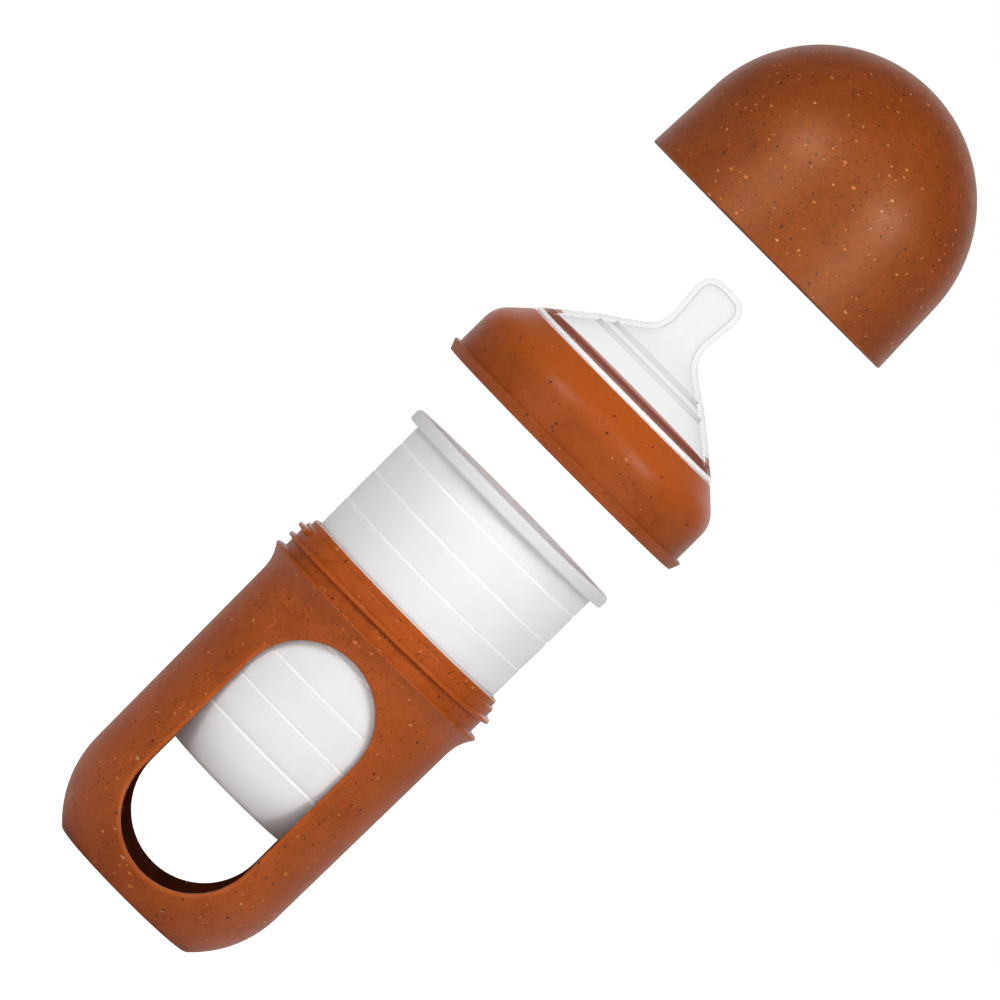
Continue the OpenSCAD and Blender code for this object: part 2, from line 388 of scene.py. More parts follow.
def bumped(nt, shader, height, strength, distance):
    inputs = {"Height": height, "Strength": strength, "Distance": distance}
    nt.links.new(put(nt, "ShaderNodeBump", inputs).outputs[0], shader.inputs["Normal"])


# ---- Materials ----

BASE = (0.350, 0.0675, 0.0085, 1)
BASE_WARM = (0.400, 0.0800, 0.0110, 1)
BASE_DARK = (0.215, 0.0390, 0.0060, 1)
SPECK = (0.022, 0.012, 0.008, 1)
CHIP_ORANGE = (0.66, 0.20, 0.040, 1)
CHIP_STRAW = (0.60, 0.33, 0.13, 1)

# Sizes, offsets and ranges of the noises
WARMTH = 14.0
MIDDLE = (0.35, 0.65)  # most of a noise's values
CROWDS = 6.0
CROWD_OFFSET = (9, 4, 2)
CROWD_RANGE = (0.3, 1.6)
SMUDGES = 3.6
SMUDGE_OFFSET = (3, 8, 1)
SMUDGE_RANGE = (0.50, 0.74, 0.0, 0.45)
GRAIN = 0.55
GRAIN_RANGE = (0.62, 0.80, 0.0, 0.35)
UNEVENNESS = 3.0
FINE_GRAIN = 0.30
CLOUDS = 9.0
HAZE = 5.0

# Flecks: size of the cells, smallest and largest radius, share of the cells that hold one
DARK_SPECKS = ((0.9, 0.11, 0.26, 0.95), (2.2, 0.20, 0.46, 0.75))
PALE_CHIPS = ((1.7, 0.14, 0.36, 0.38), (3.0, 0.22, 0.58, 0.45))
CHIP_TURNS = ((0.7, 0.3, 1.1), (1.9, 0.8, 0.2))
CHIP_OFFSET = (31, 17, 5)
CHIP_STRETCH = (1.0, 1.35, 0.7)
SPECK_WARP, CHIP_WARP = (0.34, 0.55), (0.5, 0.9)  # size and reach of the fraying noise
STRAW_RANGE = (0.35, 0.9)  # random values that turn a chip from orange to straw
FLECK_COVER = 0.85  # how much of the plastic's colour a fleck hides
FLECK_DIP = 0.6     # how deep a fleck sinks, against the plastic's relief
FLECK_EDGE = (-0.02, 0.05)
SMALL_FLECKS = 1.6  # power that makes small flecks commoner than large ones


def white(level):
    return (level, level, level, 1)


def toned(colour, tone):
    """A colour made darker or lighter by one factor."""
    return tuple(tone * c for c in colour[:3]) + (1,)


def material(name):
    m = bpy.data.materials.new(name)
    nt = emptied(m)
    shader = put(nt, "ShaderNodeBsdfPrincipled")
    put(nt, "ShaderNodeOutputMaterial", {"Surface": shader.outputs["BSDF"]})
    return m, nt, shader


def flecks(nt, vector, cell, r_min, r_max, share, crowd=None):
    """Mask of scattered flecks, one in a share of the cells, and a random value for each.

    A crowd makes the share larger or smaller from place to place.
    """
    inputs = {"Vector": vector, "Scale": 1.0 / cell, "Randomness": 1.0}
    cells = put(nt, "ShaderNodeTexVoronoi", inputs)
    rgb = put(nt, "ShaderNodeSeparateColor", {0: cells.outputs["Color"]})
    away = math_node(nt, "MULTIPLY", cells.outputs["Distance"], cell)
    size = math_node(nt, "POWER", rgb.outputs[0], SMALL_FLECKS)
    radius = math_node(nt, "MULTIPLY_ADD", size, r_max - r_min)
    radius.node.inputs[2].default_value = r_min
    inside = in_range(nt, math_node(nt, "SUBTRACT", radius, away), *FLECK_EDGE)
    limit = share if crowd is None else math_node(nt, "MULTIPLY", crowd, share)
    present = math_node(nt, "LESS_THAN", rgb.outputs[1], limit)
    return math_node(nt, "MULTIPLY", inside, present), rgb.outputs[2]


def mottled(nt, at, tone, painted_top_light):
    """Colour of the plastic without its flecks: warm and dark patches, and, where asked, a top
    painted lighter, standing in for light from above.
    """
    dark = toned(BASE_DARK, tone)
    warm = in_range(nt, noise(nt, at, WARMTH), *MIDDLE)
    colour = mix_colour(nt, warm, toned(BASE, tone), toned(BASE_WARM, tone))
    smudge = noise(nt, coords_mm(nt, SMUDGE_OFFSET), SMUDGES, 3.0, 0.65)
    colour = mix_colour(nt, in_range(nt, smudge, *SMUDGE_RANGE), colour, dark)
    grain = noise(nt, at, GRAIN, 1.0)
    colour = mix_colour(nt, in_range(nt, grain, *GRAIN_RANGE), colour, dark)
    # painted light: above the given heights the colour is mixed towards a lighter one, standing in
    # for light from above
    if painted_top_light:
        low, high, lighter = painted_top_light
        height = put(nt, "ShaderNodeSeparateXYZ", {0: at}).outputs[2]
        top = toned(BASE_WARM, tone * lighter)
        colour = mix_colour(nt, in_range(nt, height, low, high), colour, top)
    return colour


def flecked(nt, at, colour, dark, pale):
    """The colour with dark specks and pale chips on it, and the masks of them all."""
    ragged = warped(nt, at, *SPECK_WARP)
    crowds = noise(nt, coords_mm(nt, CROWD_OFFSET), CROWDS, 1.0)
    crowd = in_range(nt, crowds, *MIDDLE, *CROWD_RANGE)
    masks = []
    for cell, r_min, r_max, share in DARK_SPECKS:
        mask, _ = flecks(nt, ragged, cell, r_min, r_max, share * dark, crowd)
        colour = mix_colour(nt, math_node(nt, "MULTIPLY", mask, FLECK_COVER), colour, SPECK)
        masks.append(mask)
    for (cell, r_min, r_max, share), turn in zip(PALE_CHIPS, CHIP_TURNS):
        chip_at = warped(nt, coords_mm(nt, CHIP_OFFSET, CHIP_STRETCH, turn), *CHIP_WARP)
        mask, kind = flecks(nt, chip_at, cell, r_min, r_max, share * pale)
        chip = mix_colour(nt, in_range(nt, kind, *STRAW_RANGE), CHIP_ORANGE, CHIP_STRAW)
        colour = mix_colour(nt, math_node(nt, "MULTIPLY", mask, FLECK_COVER), colour, chip)
        masks.append(mask)
    return colour, masks


def speckled_plastic(name, dark, pale, tone=1.0, gloss=(0.31, 0.42), level=0.2, glint=white(1),
                     painted_top_light=None):
    """Terracotta plastic filled with plant fibre: dark specks, pale chips and a soft mottle.

    dark and pale are the amounts of each, gloss the range of the roughness, level and glint the
    strength and colour of the reflections. A painted top light is the heights it starts and ends
    at and how much lighter the piece is painted above it, standing in for light from above.
    """
    m, nt, shader = material(name)
    at = coords_mm(nt)
    colour, masks = flecked(nt, at, mottled(nt, at, tone, painted_top_light), dark, pale)
    nt.links.new(colour, shader.inputs["Base Color"])

    uneven = noise(nt, at, UNEVENNESS, 3.0, 0.6)
    relief = math_node(nt, "MULTIPLY_ADD", noise(nt, at, FINE_GRAIN), 0.5)
    nt.links.new(uneven, relief.node.inputs[2])
    for mask in masks:
        relief = math_node(nt, "SUBTRACT", relief, math_node(nt, "MULTIPLY", mask, FLECK_DIP))
    bumped(nt, shader, relief, 0.3, 0.06 * MM)
    nt.links.new(in_range(nt, uneven, 0.25, 0.75, *gloss), shader.inputs["Roughness"])
    set_inputs(shader, {"Specular IOR Level": level, "Specular Tint": glint})
    return m


def frosted_silicone(name, tint, gloss):
    """Frosted white silicone, in which light spreads a few millimetres."""
    m, nt, shader = material(name)
    at = coords_mm(nt)
    cloud = noise(nt, at, CLOUDS, 3.0)
    pale = tuple(min(1.0, 1.03 * c) for c in tint[:3]) + (1,)
    colour = mix_colour(nt, in_range(nt, cloud, 0.3, 0.7), tint, pale)
    nt.links.new(colour, shader.inputs["Base Color"])
    rough = in_range(nt, cloud, 0.25, 0.75, gloss, gloss + 0.1)
    nt.links.new(rough, shader.inputs["Roughness"])
    bumped(nt, shader, noise(nt, at, FINE_GRAIN), 0.12, 0.04 * MM)
    set_inputs(shader, {
        "Subsurface Weight": 0.4,
        "Subsurface Radius": (1.0, 1.0, 1.0),
        "Subsurface Scale": 4 * MM,
        "IOR": 1.41,
        "Specular IOR Level": 0.2,
    })
    return m


def clear_silicone(name, edge, clear=(0.957, 0.957, 0.962, 1)):
    """Clear silicone. Where it is seen along its wall it is painted towards the edge colour, a
    painted outline standing in for the reflections at its edges.
    """
    m, nt, shader = material(name)
    haze = noise(nt, coords_mm(nt), HAZE)
    facing = put(nt, "ShaderNodeLayerWeight", {"Blend": 0.5}).outputs["Facing"]
    # painted outline: the colour turns to the edge colour where the wall is seen edge on
    along = math_node(nt, "POWER", facing, 4.0)
    body = mix_colour(nt, haze, toned(clear, 0.985), clear)
    nt.links.new(mix_colour(nt, along, body, edge), shader.inputs["Base Color"])
    nt.links.new(in_range(nt, haze, 0.3, 0.7, 0.01, 0.03), shader.inputs["Roughness"])
    set_inputs(shader, {
        "Transmission Weight": 1.0,
        "IOR": 1.012,  # low, so that the view through the nipple stays in place
        "Coat Weight": 0.08,
        "Coat Roughness": 0.12,
    })
    return m


terracotta_shell = speckled_plastic("terracotta_shell", 0.75, 0.75)
COLLAR_REST = rise_of("screw_collar", 0.0)
COLLAR_PAINTED_LIGHT = (9, 19)  # heights on the collar between which its crown is painted lighter, standing in for light from above
# painted light: the collar's crown is painted 1.3 times lighter between these heights, standing in
# for light from above
terracotta_collar = speckled_plastic(
    "terracotta_collar", 0.35, 0.15, 0.86,
    painted_top_light=(COLLAR_REST + COLLAR_PAINTED_LIGHT[0], COLLAR_REST + COLLAR_PAINTED_LIGHT[1], 1.3))
terracotta_cap = speckled_plastic(
    "terracotta_cap", 1.0, 1.0, 0.72, gloss=(0.41, 0.49), level=0.85, glint=(1.0, 0.64, 0.38, 1))
# glossier neck, and painted light: its colour is made lighter, standing in for light glowing
# through the thin neck wall
terracotta_glossy_neck_painted_glow = speckled_plastic(
    "terracotta_glossy_neck_painted_glow", 0.6, 0.5, 1.15, gloss=(0.20, 0.28), level=0.15)
# painted highlight: the windows' rounded edges get a lighter copy of the plastic, for the light
# they catch
terracotta_edge_painted_highlight = speckled_plastic("terracotta_edge_painted_highlight", 0.4, 0.4, 1.1, gloss=(0.30, 0.40))
# painted shade: the shell's inside gets a copy of the plastic at half its brightness
terracotta_inside_painted_shade = speckled_plastic("terracotta_inside_painted_shade", 0.5, 0.5, 0.5)
# painted highlight: the raised marks get a lighter copy of the plastic, for the light their
# strokes catch
terracotta_mark_painted_highlight = speckled_plastic("terracotta_mark_painted_highlight", 0.2, 0.2, 1.25, gloss=(0.30, 0.40))
pouch_silicone = frosted_silicone("frosted_silicone", (0.85, 0.85, 0.865, 1), 0.4)
# painted light: the grooves and the pouch's inside get a white copy of the silicone, standing in
# for light through the thin wall
pouch_painted_light = frosted_silicone("frosted_silicone_painted_light", white(1.0), 0.4)
# painted light: the rounded end below the lowest groove gets a lighter copy of the silicone
pouch_end_painted_light = frosted_silicone("frosted_silicone_end_painted_light", (0.985, 0.985, 1.0, 1), 0.4)
pouch_rim = frosted_silicone("frosted_silicone_rim", (0.69, 0.69, 0.71, 1), 0.4)
nipple_outer = clear_silicone("clear_silicone", (0.66, 0.66, 0.68, 1))
# painted dark outline: the teat's inside darkens to a near black edge colour, standing in for the
# dark reflections inside it
nipple_inner_painted_dark_edge = clear_silicone("clear_silicone_inside_painted_dark_edge", (0.25, 0.25, 0.27, 1))
# painted shade: the flex grooves get a greyer copy of the clear silicone with a dark edge, drawing
# them as grey lines
nipple_ring_painted_shade = clear_silicone("silicone_ring_painted_shade", (0.30, 0.30, 0.32, 1), (0.80, 0.80, 0.81, 1))
# painted highlight: the bead is white frosted silicone, standing in for the bright line the lamps
# draw along it
nipple_bead_painted_highlight = frosted_silicone("silicone_bead_painted_highlight", white(1.0), 0.2)
# painted reflection: above the bead the clear silicone is tinted the collar's dark red
nipple_band_painted_reflection = clear_silicone("silicone_band_painted_reflection", (0.15, 0.04, 0.03, 1), (0.26, 0.075, 0.05, 1))


# ---- Shell ----

BEVEL_R = 0.85        # rounding of the windows' outer edges
BEVEL_STEPS = 7
INNER_BEVEL_R = 0.4   # rounding of their inner edges
INNER_BEVEL_STEPS = 4
CUT_STOPS = (0.1, 0.5, 0.9)  # places of points on the cut face, from the outside in
RINGS = 24            # rings of faces from a window out to the quarter lines
RING_EASE = 1.3       # power that draws the rings towards the window
CORNER_TURN = 60      # points this far from a window's top go to the upper line, degrees
LOW_ARC = 90.0001     # start of the lower arc, just past the straight side
SIDE_STEPS = 60
OUTER_LOW, OUTER_HIGH = 2.5, 90.0  # heights round the windows, outside and inside
INNER_LOW, INNER_HIGH = 5.0, 90.0
SHOULDER_STEP = 0.41  # step of the flare's points above OUTER_HIGH
SHOULDER_STEPS = 5
END_GAP = 0.3         # an end's arc stops this far below the windowed wall
SLOPE_STEP = 0.01     # step that a wall's slope is measured over

# Looks of the shell's faces and the limits between them
WALL_LOOK, NECK_GLOW_LOOK, EDGE_HIGHLIGHT_LOOK, INSIDE_SHADE_LOOK = range(4)
NECK_LOOK_Z = SHOULDER_Z + 0.02
NECK_LOOK_R = BORE_R + 0.1
INSIDE_LOOK_Z = 1.2
INSIDE_LOOK_T = BODY_WALL - 0.2  # depth below the outer wall
EDGE_LOOK_LOW, EDGE_LOOK_HIGH = 6, 88
EDGE_LOOK_T = 0.05


def end_r(r, z):
    return END_C[0] + math.sqrt(r * r - (END_C[1] - z) ** 2)


def outer_r(z):
    if z < END_C[1]:
        return end_r(SHELL_END_R, z)
    if z < FLARE_Z:
        low = END_C[0] + SHELL_END_R
        return low + (BODY_R - low) * (z - END_C[1]) / (FLARE_Z - END_C[1])
    return FLARE_C[0] - math.sqrt(FLARE_R ** 2 - (z - FLARE_C[1]) ** 2)


def inner_r(z):
    if z < END_C[1]:
        return end_r(SHELL_END_R - BODY_WALL, z)
    if z < FLARE_Z:
        low = END_C[0] + SHELL_END_R - BODY_WALL
        return low + (BORE_R - low) * (z - END_C[1]) / (FLARE_Z - END_C[1])
    return BORE_R


def on_wall(wall_r, x, z):
    """Point of a wall in front of the axis, and the wall's outward normal there."""
    r = wall_r(z)
    slope = (wall_r(z + SLOPE_STEP) - wall_r(z - SLOPE_STEP)) / (2 * SLOPE_STEP)
    y = -math.sqrt(r * r - x * x)
    return Vector((x, y, z)), Vector((x / r, y / r, -slope)).normalized()


def along_wall(normal, m):
    """Direction along the wall that points to m when seen from the front."""
    return Vector((m[0], -(normal.x * m[0] + normal.z * m[1]) / normal.y, m[1])).normalized()


def window_points():
    """Points round the window, seen from the front, with their outward directions."""
    def at(turn):
        c = WINDOW_HIGH_C if abs(turn) <= 90 else WINDOW_LOW_C
        m = (math.sin(math.radians(turn)), math.cos(math.radians(turn)))
        return (m[0] * WINDOW_R, c + m[1] * WINDOW_R), m

    n = AROUND // 2
    upper = [at(-CORNER_TURN + 2 * CORNER_TURN * j / n) for j in range(n)]
    bend = math.radians(90 - CORNER_TURN) * WINDOW_R
    height = WINDOW_HIGH_C - WINDOW_LOW_C
    right = []
    for j in range(SIDE_STEPS):
        s = (2 * bend + height) * j / SIDE_STEPS
        if s < bend:
            right.append(at(CORNER_TURN + math.degrees(s / WINDOW_R)))
        elif s < bend + height:
            right.append(((WINDOW_R, WINDOW_HIGH_C - (s - bend)), (1.0, 0.0)))
        else:
            right.append(at(LOW_ARC + math.degrees((s - bend - height) / WINDOW_R)))
    half = upper + right
    middles = WINDOW_HIGH_C + WINDOW_LOW_C
    return half + [((-x, middles - z), (-mx, -mz)) for (x, z), (mx, mz) in half]


def line_points(low, high):
    """Places round a windowed wall, as turn and height: along its upper line, down a quarter line,
    back along its lower line and up the other quarter line.
    """
    n = AROUND // 2
    places = [(-90 + 180 * j / n, high) for j in range(n)]
    places += [(90, high + (low - high) * j / SIDE_STEPS) for j in range(SIDE_STEPS)]
    places += [(90 - 180 * j / n, low) for j in range(n)]
    return places + [(-90, low + (high - low) * j / SIDE_STEPS) for j in range(SIDE_STEPS)]


def bezier(p0, d0, p3, d3, turn, r, n):
    """Points of a rounding from p0 in direction d0 to p3 in direction d3."""
    reach = 4 / 3 * math.tan(turn / 4) * r
    p1, p2 = p0 + d0 * reach, p3 - d3 * reach
    out = []
    for i in range(n + 1):
        t = i / n
        s = 1 - t
        out.append(p0 * s ** 3 + p1 * 3 * t * s ** 2 + p2 * 3 * t * t * s + p3 * t ** 3)
    return out


def rounding(wall_r, xz, m, r, into):
    """Ends of the rounding of radius r from a wall to the window's cut face, which runs into it.

    Gives the end on the wall, the wall's direction there, the end on the cut and the angle turned.
    """
    corner, normal = on_wall(wall_r, *xz)
    away = along_wall(normal, m)
    inside = math.acos(away.dot(into))
    reach = r / math.tan(inside / 2)
    flat = math.hypot(away.x, away.z) * reach
    start, start_normal = on_wall(wall_r, xz[0] + m[0] * flat, xz[1] + m[1] * flat)
    return start, along_wall(start_normal, m), corner + into * reach, math.pi - inside


def edge_line(xz, m):
    """Points through the wall at one place of the window: outer rounding, cut, inner rounding."""
    inward = Vector((0, 1, 0))
    start, along, cut, turn = rounding(outer_r, xz, m, BEVEL_R, inward)
    outer = bezier(start, -along, cut, inward, turn, BEVEL_R, BEVEL_STEPS)
    end, along, cut, turn = rounding(inner_r, xz, m, INNER_BEVEL_R, -inward)
    inner = bezier(cut, inward, end, along, turn, INNER_BEVEL_R, INNER_BEVEL_STEPS)
    return outer + [outer[-1].lerp(inner[0], t) for t in CUT_STOPS] + inner


def field(point, wall_r, turn, z):
    """Points on a wall from a window's edge out to a quarter line."""
    t0, z0 = math.degrees(math.atan2(point.x, -point.y)), point.z
    out = []
    for k in range(1, RINGS + 1):
        s = (k / RINGS) ** RING_EASE
        a, h = math.radians(t0 + (turn - t0) * s), z0 + (z - z0) * s
        out.append(Vector((wall_r(h) * math.sin(a), -wall_r(h) * math.cos(a), h)))
    return out


def windowed_wall(flip):
    """Half of the wall, inside and outside, around the window in front or behind."""
    columns = []
    outer_line = line_points(OUTER_LOW, OUTER_HIGH)
    inner_line = line_points(INNER_LOW, INNER_HIGH)
    for (xz, m), out_place, in_place in zip(window_points(), outer_line, inner_line):
        edge = edge_line(xz, m)
        outer = field(edge[0], outer_r, *out_place)
        columns.append(outer[::-1] + edge + field(edge[-1], inner_r, *in_place))
    n, rows = len(columns), len(columns[0])
    faces = []
    for i in range(n):
        a, b = i * rows, (i + 1) % n * rows
        faces += [(a + j, a + j + 1, b + j + 1, b + j) for j in range(rows - 1)]
    return [(p.x * flip, p.y * flip, p.z) for column in columns for p in column], faces


def shell_top():
    """The flare, shoulder, neck and rim, down to the bore."""
    steps = [OUTER_HIGH + i * SHOULDER_STEP for i in range(1, SHOULDER_STEPS + 1)]
    return profile(
        [(outer_r(OUTER_HIGH), OUTER_HIGH)] + [(outer_r(z), z) for z in steps],
        outer_corner(SHOULDER_R, SHOULDER_Z, 0.5),
        step_corner(NECK_R, SHOULDER_Z, 0.3),
        [(NECK_R, RIM_STEP_Z - STEP_FILLET)],
        outer_corner(NECK_R, RIM_STEP_Z, STEP_FILLET),
        step_corner(RIM_R, RIM_STEP_Z, SMALL_FILLET),
        outer_corner(RIM_R, RIM_Z, RIM_FILLET),
        bore_corner(BORE_R, RIM_Z, RIM_FILLET),
        [(BORE_R, INNER_HIGH)])


def shell_bottom():
    """The underside and its foot ring, up to the windowed part of the outer wall."""
    fillet, end_arc = rounded_end(SHELL_END_R, 0, FOOT_FILLET)
    return profile(
        [(0.0, FOOT_RECESS)],
        [(FOOT_RING_R[0], FOOT_RECESS)],
        [(FOOT_RING_R[1], 0.0)],
        fillet,
        [(r, z) for r, z in end_arc if z < OUTER_LOW - END_GAP],
        [(outer_r(OUTER_LOW), OUTER_LOW)])


def shell_floor():
    """The inside of the end, up to the windowed part of the inner wall."""
    fillet, end_arc = rounded_end(SHELL_END_R - BODY_WALL, FLOOR_T, FLOOR_FILLET)
    return profile(
        [(0.0, FLOOR_T)],
        fillet,
        [(r, z) for r, z in end_arc if z < INNER_LOW - END_GAP],
        [(inner_r(INNER_LOW), INNER_LOW)])


def shell_mesh():
    turns = [math.radians(-90 + 360 * j / AROUND) for j in range(AROUND)]
    around = [(math.sin(t), -math.cos(t)) for t in turns]
    walls = [windowed_wall(flip) for flip in (1, -1)]
    lines = (shell_top(), shell_bottom(), shell_floor())
    return joined(walls + [turned(line, around) for line in lines])


def shell_finish(r, z):
    """Look of a shell's face: the neck with its painted glow, the inside with its painted shade,
    the windows' rounded edges with their painted highlight, or the wall.
    """
    if z > NECK_LOOK_Z and r > NECK_LOOK_R:
        return NECK_GLOW_LOOK
    if z > INSIDE_LOOK_Z and r < outer_r(min(z, INNER_HIGH)) - INSIDE_LOOK_T:
        return INSIDE_SHADE_LOOK
    if EDGE_LOOK_LOW < z < EDGE_LOOK_HIGH and r < outer_r(z) - EDGE_LOOK_T:
        return EDGE_HIGHLIGHT_LOOK
    return WALL_LOOK


# ---- Threads ----

THREAD_WIDTH = 0.88   # of the ridge's section, against the widths written in it
THREAD_STEP = 2.0     # degrees
THREAD_RUN_OUT = 5.0  # degrees that an end takes to grow to the full height
THREAD_TIP = 0.02     # height of the very end, as a share of the full height
THREAD_TIP_WIDTH = 0.25
THREAD_DIP = 0.15     # an end sinks this far into the wall


def thread_section(high):
    """Section of a blunt ridge that is rooted a little inside the wall."""
    half = [(1.15, -0.12), (1.02, 0.05), (0.86, 0.22), (0.66, high - 0.28), (0.56, high - 0.08),
            (0.40, high)]
    return mirrored_section([(THREAD_WIDTH * s, u) for s, u in half])


def screw_thread(root_r, crest_r, z0, rise):
    """A blunt thread ridge on a wall; the crest may lie outside the root or inside it."""
    out = 1 if crest_r > root_r else -1
    t0, t1 = THREAD_TURNS
    n = int(abs(t1 - t0) / THREAD_STEP)
    stations = []
    for i in range(n + 1):
        t = t0 + (t1 - t0) * i / n
        a = math.radians(t)
        end = min(abs(t - t0), abs(t1 - t)) / THREAD_RUN_OUT
        grow = math.sqrt(max(0.0, 1 - (1 - min(end, 1)) ** 2)) * (1 - THREAD_TIP) + THREAD_TIP
        radial = Vector((math.cos(a), math.sin(a), 0))
        height = Vector((0, 0, z0 + THREAD_PITCH * t / 360 + rise))
        origin = radial * (root_r - out * THREAD_DIP * (1 - grow)) + height
        side = Vector((0, 0, 1)) * (THREAD_TIP_WIDTH + (1 - THREAD_TIP_WIDTH) * grow)
        stations.append((origin, side, radial * out * grow))
    return sweep(stations, thread_section(abs(crest_r - root_r)))


# ---- Measuring marks ----

# The stroke of each character, in hundredths of a mark's width and height
STROKES = {
    "2": [(2, 76), (12, 93), (35, 100), (62, 97), (80, 82), (80, 66), (62, 46), (30, 22), (0, 0),
          (85, 0)],
    "3": [(4, 90), (30, 100), (62, 96), (76, 80), (68, 62), (34, 54), (70, 46), (82, 28), (70, 7),
          (36, 0), (2, 10)],
    "4": [(66, 0), (66, 100), (0, 30), (88, 30)],
    "5": [(78, 100), (16, 100), (8, 56), (42, 62), (74, 50), (82, 28), (66, 6), (34, 0), (2, 10)],
    "6": [(62, 100), (28, 74), (5, 38), (10, 12), (36, 0), (66, 6), (80, 28), (68, 50), (38, 56),
          (12, 44)],
    "7": [(0, 100), (84, 100), (26, 0)],
    "8": [(40, 54), (12, 66), (8, 86), (28, 100), (52, 100), (72, 86), (68, 66), (40, 54), (8, 40),
          (0, 20), (18, 2), (42, 0), (66, 4), (80, 22), (72, 40), (40, 54)],
    "o": [(36, 62), (10, 52), (2, 30), (12, 8), (36, 0), (60, 8), (70, 30), (62, 52), (36, 62)],
    "z": [(2, 62), (66, 62), (0, 0), (70, 0)],
}
ANGULAR = "47z"    # characters whose corners are softened less
MARK_H = 3.9
MARK_W = 3.1
STROKE_W = 0.5
STROKE_H = 0.22
STROKE_END = 0.55  # size of a stroke's ends, against its middle
STROKE_HALF_SECTION = [(0.5, -0.6), (0.5, 0.0), (0.36, 0.62), (0.14, 0.98)]
# Each mark's character, its turn from the front in degrees and the height of its middle
MARKS = (("2", -44.5, 25.6), ("3", -44.5, 35.6), ("4", -44.5, 45.6), ("5", -44.5, 55.6),
         ("6", -44.5, 65.8), ("7", -40.5, 76.6), ("8", -31.0, 85.6),
         ("o", -47.5, 85.3), ("z", -41.8, 85.3))


def smooth_path(points, n):
    """A path through the points with its corners softened n times."""
    pts = [Vector(p) for p in points]
    for _ in range(n):
        out = [pts[0]]
        for a, b in zip(pts, pts[1:]):
            out += [a.lerp(b, 0.25), a.lerp(b, 0.75)]
        pts = out + [pts[-1]]
    return pts


def mark(text, turn, z):
    """The raised stroke of one character on the shell's outer wall."""
    flat = [(x / 100 * MARK_W, y / 100 * MARK_H) for x, y in STROKES[text]]
    points = []
    for x, y in smooth_path(flat, 1 if text in ANGULAR else 2):
        h = z + y - MARK_H / 2
        a = math.radians(turn) + (x - MARK_W / 2) / outer_r(z)
        points.append((Vector((outer_r(h) * math.sin(a), -outer_r(h) * math.cos(a), h)),
                       Vector((math.sin(a), -math.cos(a), 0))))
    last = len(points) - 1
    stations = []
    for i, (p, normal) in enumerate(points):
        ahead = points[min(i + 1, last)][0] - points[max(i - 1, 0)][0]
        side = ahead.cross(normal).normalized()
        size = STROKE_END if i in (0, last) else 1.0
        stations.append((p, side * STROKE_W * size, normal * STROKE_H * size))
    return sweep(stations, mirrored_section(STROKE_HALF_SECTION))




# ---- Pouch ----

GROOVE_GAP = 0.7  # the rounded end's arc stops this far from a groove's middle

# Looks of the pouch's faces and the limits between them
POUCH_LOOK, PAINTED_LIGHT_LOOK, FLANGE_LOOK, END_PAINTED_LIGHT_LOOK = range(4)
FLANGE_LOOK_R = POUCH_R + 0.2
THIN_LOOK_Z = 12.0    # the lowest height at which faces inside are painted lighter
GROOVE_LOOK_T = 0.03  # depth of a groove's faces
THIN_LOOK_T = POUCH_WALL * 0.9


def pouch_wall_r(z):
    end = END_C[0] + POUCH_ARC_R
    return POUCH_R - (POUCH_R - end) * max(0.0, FLARE_Z - z) / (FLARE_Z - END_C[1])


def groove(z):
    """A graduation groove in the pouch's outside."""
    away = GROOVE_W / 2 - GROOVE_D / 2
    half = math.degrees(math.acos(away / (GROOVE_W / 2)))
    r = pouch_wall_r(z) if z > END_C[1] else end_r(POUCH_ARC_R, z)
    return arc((r + away, z), GROOVE_W / 2, 180 + half, 180 - half)


def pouch_finish(r, z):
    """Look of a pouch's face: the flange, the grooves and inside with their painted light, the
    rounded end with its painted light, or the wall.
    """
    outside = pouch_wall_r(z) if z > END_C[1] else end_r(POUCH_ARC_R, max(z, THIN_LOOK_Z))
    if r > FLANGE_LOOK_R:
        return FLANGE_LOOK
    in_groove = any(abs(z - g) < GROOVE_W / 2 for g in GROOVES)
    if z > THIN_LOOK_Z and r < outside - (GROOVE_LOOK_T if in_groove else THIN_LOOK_T):
        return PAINTED_LIGHT_LOOK
    return END_PAINTED_LIGHT_LOOK if z < GROOVES[0] else POUCH_LOOK


def pouch_profile():
    fillet, end_arc = rounded_end(POUCH_ARC_R, POUCH_Z, POUCH_FILLET)
    parts = [[(0.0, POUCH_Z)], fillet]
    for z in [z for z in GROOVES if z < END_C[1]]:
        parts.append([p for p in end_arc if p[1] < z - GROOVE_GAP])
        parts.append(groove(z))
        end_arc = [p for p in end_arc if p[1] > z + GROOVE_GAP]
    parts.append(end_arc)
    parts += [groove(z) for z in GROOVES if END_C[1] < z < FLARE_Z]
    parts.append([(POUCH_R, FLARE_Z)])
    parts += [groove(z) for z in GROOVES if z > FLARE_Z]

    flange_foot = (FLANGE_R - 0.35, FLANGE_LOW)
    bore_r = POUCH_R - POUCH_WALL
    parts += [
        arc((POUCH_R + 0.3, FLANGE_LOW - 0.3), 0.3, 180, 90),
        rounded((POUCH_R, FLANGE_LOW), flange_foot, (FLANGE_R, FLANGE_LOW + 0.35), 0.3),
        [(FLANGE_R, FLANGE_LOW + 0.4)],
        outer_corner(FLANGE_R, FLANGE_HIGH, 1.0),
        bore_corner(bore_r, FLANGE_HIGH, 0.5),
        [(bore_r, FLARE_Z)],
    ]
    floor_z = POUCH_Z + POUCH_WALL
    inside = rounded_end(POUCH_ARC_R - POUCH_WALL, floor_z, POUCH_FILLET - POUCH_WALL)
    parts += [part[::-1] for part in inside[::-1]]
    parts.append([(0.0, floor_z)])
    return profile(*parts)


# ---- Nipple ----

SKIRT_STEPS = 30
TEAT_STEPS = 24
FLEX_GAP = 0.035     # the skirt's inside stops this far from a flex groove, in its length
INSIDE_START = 0.04  # where the skirt's inside starts, in its length
INSIDE_Z = 7.4       # height of the corner below it

